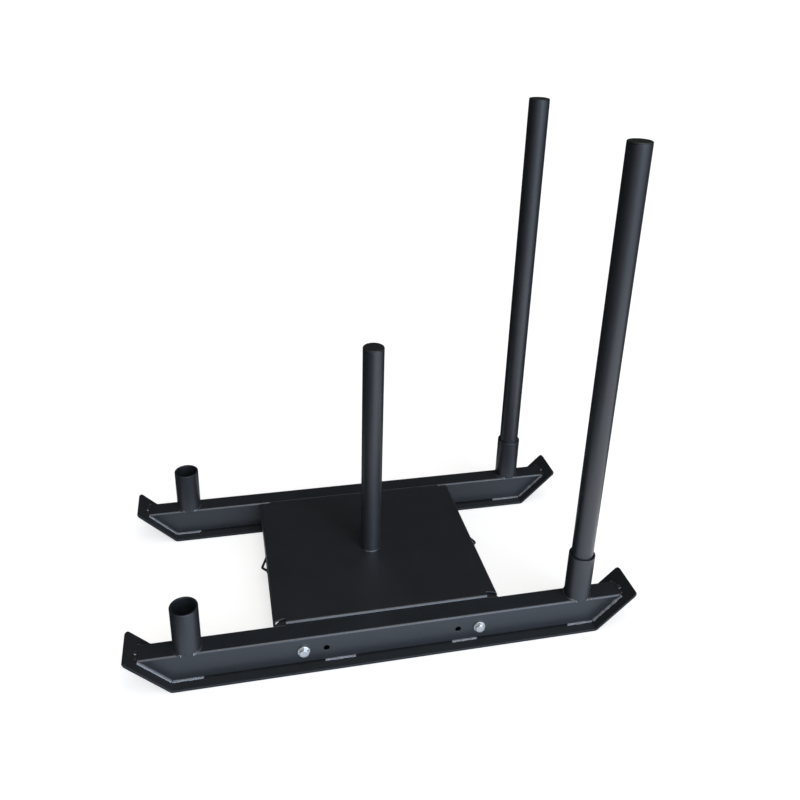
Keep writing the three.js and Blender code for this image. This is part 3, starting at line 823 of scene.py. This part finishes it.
# Uprights, load post and their caps
POLES = {
    "left_upright": "left_upright_body", "right_upright": "right_upright_body", "load_post": "sled_frame"}
for node, body in POLES.items():
    finish_piece(round_tube(f"{node}_steel", *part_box(node), POLE_WALL), STEEL, COATED, body, node)
    finish_piece(plug_cap(f"{node}_plug", *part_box(f"{node}_cap")), CAP, CAPPED, body, f"{node}_cap")

# Deck
finish_piece(deck_pan("deck_sheet"), DECK, DECK_COATED, "sled_frame", "deck_pan")
channel = stiffener("deck_stiffener_steel", *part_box("deck_stiffener"))
finish_piece(channel, DECK, DECK_COATED, "sled_frame", "deck_stiffener")
for side, across in SIDES.items():
    for end, along in ENDS.items():
        plate = corner_plate(f"{side}_{end}_corner_plate", along, across)
        finish_piece(plate, DECK, DECK_COATED, "sled_frame")
finish_piece(post_weld("load_post_weld"), DECK, COATED, "sled_frame")

# Tow loops
for end, sign in ENDS.items():
    rod = tow_loop(f"{end}_tow_rod", sign, TOW_LEG_ANGLE[end])
    finish_piece(rod, STEEL, COATED, "sled_frame", f"{end}_tow_loop")
    finish_piece(tow_welds(f"{end}_tow_welds", sign, TOW_LEG_ANGLE[end]), WELD_COAT_AND_HIGHLIGHT, COATED, "sled_frame")

# Bolts, washers and nuts
for side, sign in SIDES.items():
    outer_face, inner_face = (1, 0) if sign > 0 else (0, 1)
    for end in ENDS:
        stem = f"{side}_{end}"
        washer_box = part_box(f"{stem}_outer_washer")
        x = (washer_box[0].x + washer_box[1].x) / 2
        head_seat = washer_box[outer_face].y + sign * SEAT_GAP
        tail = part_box(f"{stem}_bolt")[inner_face].y
        shank = bolt(f"{stem}_bolt", np.array([x, head_seat, BOLT_LEVEL]), sign, abs(head_seat - tail))
        finish_piece(shank, ZINC, ZINCED, "sled_frame", f"{stem}_bolt")
        for node in (f"{stem}_outer_washer", f"{stem}_inner_washer"):
            finish_piece(washer(node), ZINC, ZINCED, "sled_frame", node)
        nut_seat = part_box(f"{stem}_nut")[inner_face].y
        block = nut(f"{stem}_nut", np.array([x, nut_seat, BOLT_LEVEL]), sign)
        finish_piece(block, ZINC, ZINCED, "sled_frame", f"{stem}_nut")

# Camera, solved from the photograph's straight edges, in pixels of a picture 800 wide and high
PICTURE = 800
FOCAL, MIDDLE = 842.96, (403.50, 332.90)
FILM_WIDTH = 36
FAR_CLIP = 500
EYE = np.array([-0.331567, -1.690880, 1.424520])
AZIMUTH, ELEVATION, ROLL = (math.radians(v) for v in (13.2902, 23.7945, 1.7865))
ahead = np.array([math.sin(AZIMUTH) * math.cos(ELEVATION), math.cos(AZIMUTH) * math.cos(ELEVATION),
                  -math.sin(ELEVATION)])
level = np.array([math.cos(AZIMUTH), -math.sin(AZIMUTH), 0])
plumb = np.cross(level, ahead)
right = math.cos(ROLL) * level + math.sin(ROLL) * plumb
above = math.cos(ROLL) * plumb - math.sin(ROLL) * level
lens = bpy.data.cameras.new("camera")
lens.sensor_width, lens.lens = FILM_WIDTH, FOCAL / PICTURE * FILM_WIDTH
lens.shift_x, lens.shift_y = (PICTURE / 2 - MIDDLE[0]) / PICTURE, (MIDDLE[1] - PICTURE / 2) / PICTURE
lens.clip_end = FAR_CLIP
camera = bpy.data.objects.new("camera", lens)
camera.matrix_world = np.vstack([np.column_stack([right, above, -ahead, EYE]), [0, 0, 0, 1]]).T.tolist()
bpy.context.scene.collection.objects.link(camera)
bpy.context.scene.camera = camera


# Stage: pale floor, white surroundings, soft lamps, studio cloths that only reflections see, and painted shade
# of the sled on the floor that only reflections see
WORLD_LIGHT = 0.45
FLOOR_GLOW = 0.65
FLOOR_RADIUS = 200
FLOOR_POINTS = 129
FLOOR_DROP = 0.5 * MM
DRAPE_RADIUS = 12
DRAPE_AROUND = np.radians(np.linspace(-15, 225, 48))
DRAPE_UP = np.radians(np.linspace(0, 88, 15))


def sun(name, azimuth, elevation, strength, spread, tint):
    """Soft distant lamp: its light comes from this azimuth, from +X towards +Y, and elevation in degrees."""
    data = bpy.data.lights.new(name, "SUN")
    data.energy, data.angle, data.color = strength * math.pi, math.radians(spread), linear(tint)[:3]
    lamp = bpy.data.objects.new(name, data)
    lamp.rotation_euler = (math.radians(90 - elevation), 0, math.radians(azimuth + 90))
    bpy.context.scene.collection.objects.link(lamp)


def seen_as_background(tree, dim, bright):
    """A value that is bright where the camera, a reflection or a view through glass sees it, and else dim."""
    path = add(tree, "ShaderNodeLightPath").outputs
    seen = add(tree, "ShaderNodeMath", {
        0: path["Is Camera Ray"], 1: path["Is Glossy Ray"]}, operation="MAXIMUM")
    seen = add(tree, "ShaderNodeMath", {
        0: seen.outputs[0], 1: path["Is Transmission Ray"]}, operation="MAXIMUM")
    return add(tree, "ShaderNodeMapRange", {0: seen.outputs[0], 3: dim, 4: bright}).outputs[0]


def studio(name):
    """White surroundings, dimmer as a light than as a background."""
    world = bpy.data.worlds.new(name)
    world.use_nodes = True
    tree = world.node_tree
    tree.nodes.clear()
    strength = seen_as_background(tree, WORLD_LIGHT, 1.0)
    sky = add(tree, "ShaderNodeBackground", {"Color": linear("#ffffff"), "Strength": strength})
    add(tree, "ShaderNodeOutputWorld", {"Surface": sky.outputs[0]})
    return world


def pale_floor(name):
    """Matte white paint on a smooth floor. It glows a little to the eye, and keeps the sled's soft shadow."""
    material, tree = fresh(name)
    paint = add(tree, "ShaderNodeBsdfDiffuse", {"Color": linear("#c2c2c2")})
    strength = seen_as_background(tree, 0.0, FLOOR_GLOW)
    glow = add(tree, "ShaderNodeEmission", {"Color": linear("#ffffff"), "Strength": strength})
    both = add(tree, "ShaderNodeAddShader", {0: paint.outputs[0], 1: glow.outputs[0]})
    add(tree, "ShaderNodeOutputMaterial", {"Surface": both.outputs[0]})
    return material


def cloth_and_shade_tone(name, tone):
    """One even matte tone, for the studio cloths and for the painted shade on the floor."""
    material, tree = fresh(name)
    cloth = add(tree, "ShaderNodeBsdfDiffuse", {"Color": linear(tone)})
    add(tree, "ShaderNodeOutputMaterial", {"Surface": cloth.outputs[0]})
    return material


def flag(name, points, faces, cloth):
    """Studio cloth for reflections alone, also used as painted shade of the sled on the floor: it casts no
    shadow and neither the camera nor the light sees it.
    """
    card = put_in_mesh(name, points, faces)
    card.visible_camera = card.visible_diffuse = card.visible_shadow = card.visible_transmission = False
    card.data.materials.append(cloth)


bpy.context.scene.world = studio("studio")
rim, _ = arc_points((0, 0, -FLOOR_DROP), FLOOR_RADIUS, 0, FULL_TURN, FLOOR_POINTS)
floor = put_in_mesh("floor", rim[:-1], [list(range(len(rim) - 1))])
floor.data.materials.append(pale_floor("pale_floor"))

# Black serves the drape, the dark surroundings and the painted shade between the runners. Grey and pale are
# painted shade of the sled on the floor
BLACK_CLOTH_AND_SHADE = cloth_and_shade_tone("black_cloth_and_painted_shade", "#303030")
GREY_PAINTED_SHADE = cloth_and_shade_tone("grey_painted_shade", "#e0e6ee")
PALE_PAINTED_SHADE = cloth_and_shade_tone("pale_painted_shade", "#edf4ff")
DIM_CLOTH = cloth_and_shade_tone("dim_cloth", "#b4b4b4")

# The drape stands behind and beside the sled, part of a dome from the floor to its top
around, up = np.meshgrid(DRAPE_AROUND, DRAPE_UP, indexing="ij")
drape = DRAPE_RADIUS * np.stack([np.cos(up) * np.cos(around), np.cos(up) * np.sin(around), np.sin(up)], -1)
flag("back_drape", drape.reshape(-1, 3), grid_faces(*around.shape, columns_close=False), BLACK_CLOTH_AND_SHADE)

# Cloths on the floor, and sheets of painted shade where the sled shades the floor, each with its material, its
# level in millimetres and its outline in metres
CLOTHS_AND_PAINTED_SHADE = {
    "left_floor_cloth": (BLACK_CLOTH_AND_SHADE, 1.4, [
        (-0.62, 12), (-12, 12), (-12, -12), (2, -12), (0.3, -2.8), (0, -1.9), (-0.05, -1.3), (-0.14, -0.8),
        (-0.56, -0.42), (-0.62, -0.3)]),
    "back_floor_cloth": (BLACK_CLOTH_AND_SHADE, 1.2, [
        (-0.64, 0.42), (0.66, 0.42), (0.66, 0.02), (2.75, -0.95), (3.4, -2.4), (3.0, -4.5), (4.5, -12),
        (12, -12), (12, 12), (-0.64, 12)]),
    # Painted shade, seen only in reflections: the sled's shade on the floor between its runners and under the
    # far one
    "inner_painted_floor_shade": (BLACK_CLOTH_AND_SHADE, 1.0, rectangle(-0.62, -0.205, 0.66, 0.09)),
    "right_painted_floor_shade": (GREY_PAINTED_SHADE, 1.0, rectangle(-0.62, 0.09, 0.66, 0.42)),
    "far_floor_cloth": (DIM_CLOTH, 1.0, [
        (0.15, -2.3), (3.4, -2.3), (3.0, -4.5), (4.5, -12), (2, -12), (0.3, -2.8)]),
    # Painted shade, seen only in reflections: the sled's contact shade on the floor in front of the near
    # runner
    "front_painted_floor_shade": (PALE_PAINTED_SHADE, 1.0, rectangle(-0.62, -0.5, 0.66, -0.29)),
}
for name, (cloth, height, outline) in CLOTHS_AND_PAINTED_SHADE.items():
    flag(name, [(x, y, height * MM) for x, y in outline], [list(range(len(outline)))], cloth)

sun("key", azimuth=-80, elevation=66, strength=0.24, spread=30, tint="#fffaf2")
sun("fill", azimuth=-68, elevation=18, strength=0.58, spread=40, tint="#dbe9ff")

bpy.context.scene.view_settings.view_transform = "Standard"
